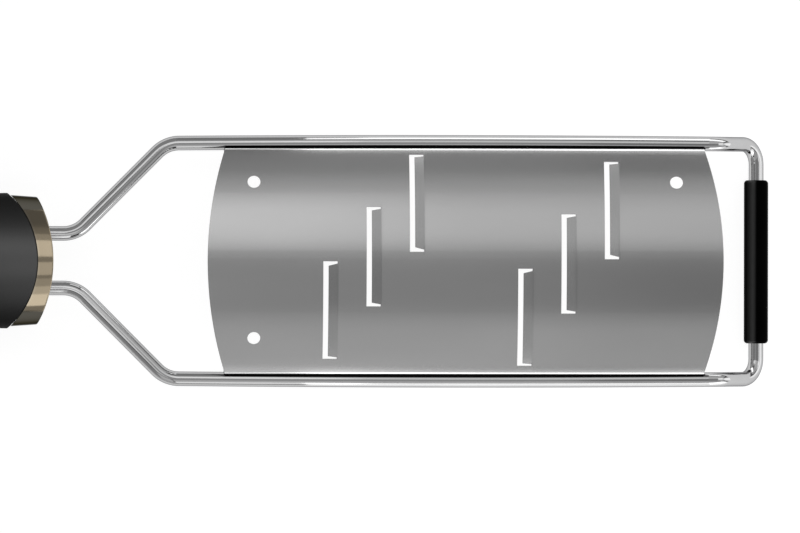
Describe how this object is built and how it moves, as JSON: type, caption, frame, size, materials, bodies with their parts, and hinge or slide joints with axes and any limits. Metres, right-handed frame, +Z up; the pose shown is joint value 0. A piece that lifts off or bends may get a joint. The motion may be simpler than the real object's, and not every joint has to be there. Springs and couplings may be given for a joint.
{
  "type": "rasp grater",
  "caption": "Hand-held shaving grater: an arched steel blade with raised cutters, crimped onto a bent wire frame with a soft grip and a rubber foot.",
  "frame": {"origin": "on the table that the grater lies on, under the middle of its whole length and width", "axes": "+X along the tool from the handle towards the foot, +Y across it, +Z up, out of the convex side of the blade"},
  "size_m": [0.3152, 0.0706, 0.0296],
  "materials": {
    "polished_wire": "polished stainless steel rod",
    "satin_blade": "satin stainless steel sheet",
    "foot_rubber": "smooth, slightly glossy black rubber",
    "bronze_collar": "satin, bronze-coloured",
    "core_plastic": "moulded black plastic",
    "grip_rubber": "soft-touch matt black rubber"
  },
  "bodies": {
    "root": {"wire_frame": "polished_wire", "shaver_blade": "satin_blade", "foot_sleeve": "foot_rubber", "collar": "bronze_collar", "core_upper": "core_plastic", "core_lower": "core_plastic", "grip_sleeve": "grip_rubber"}
  },
  "joints": []
}
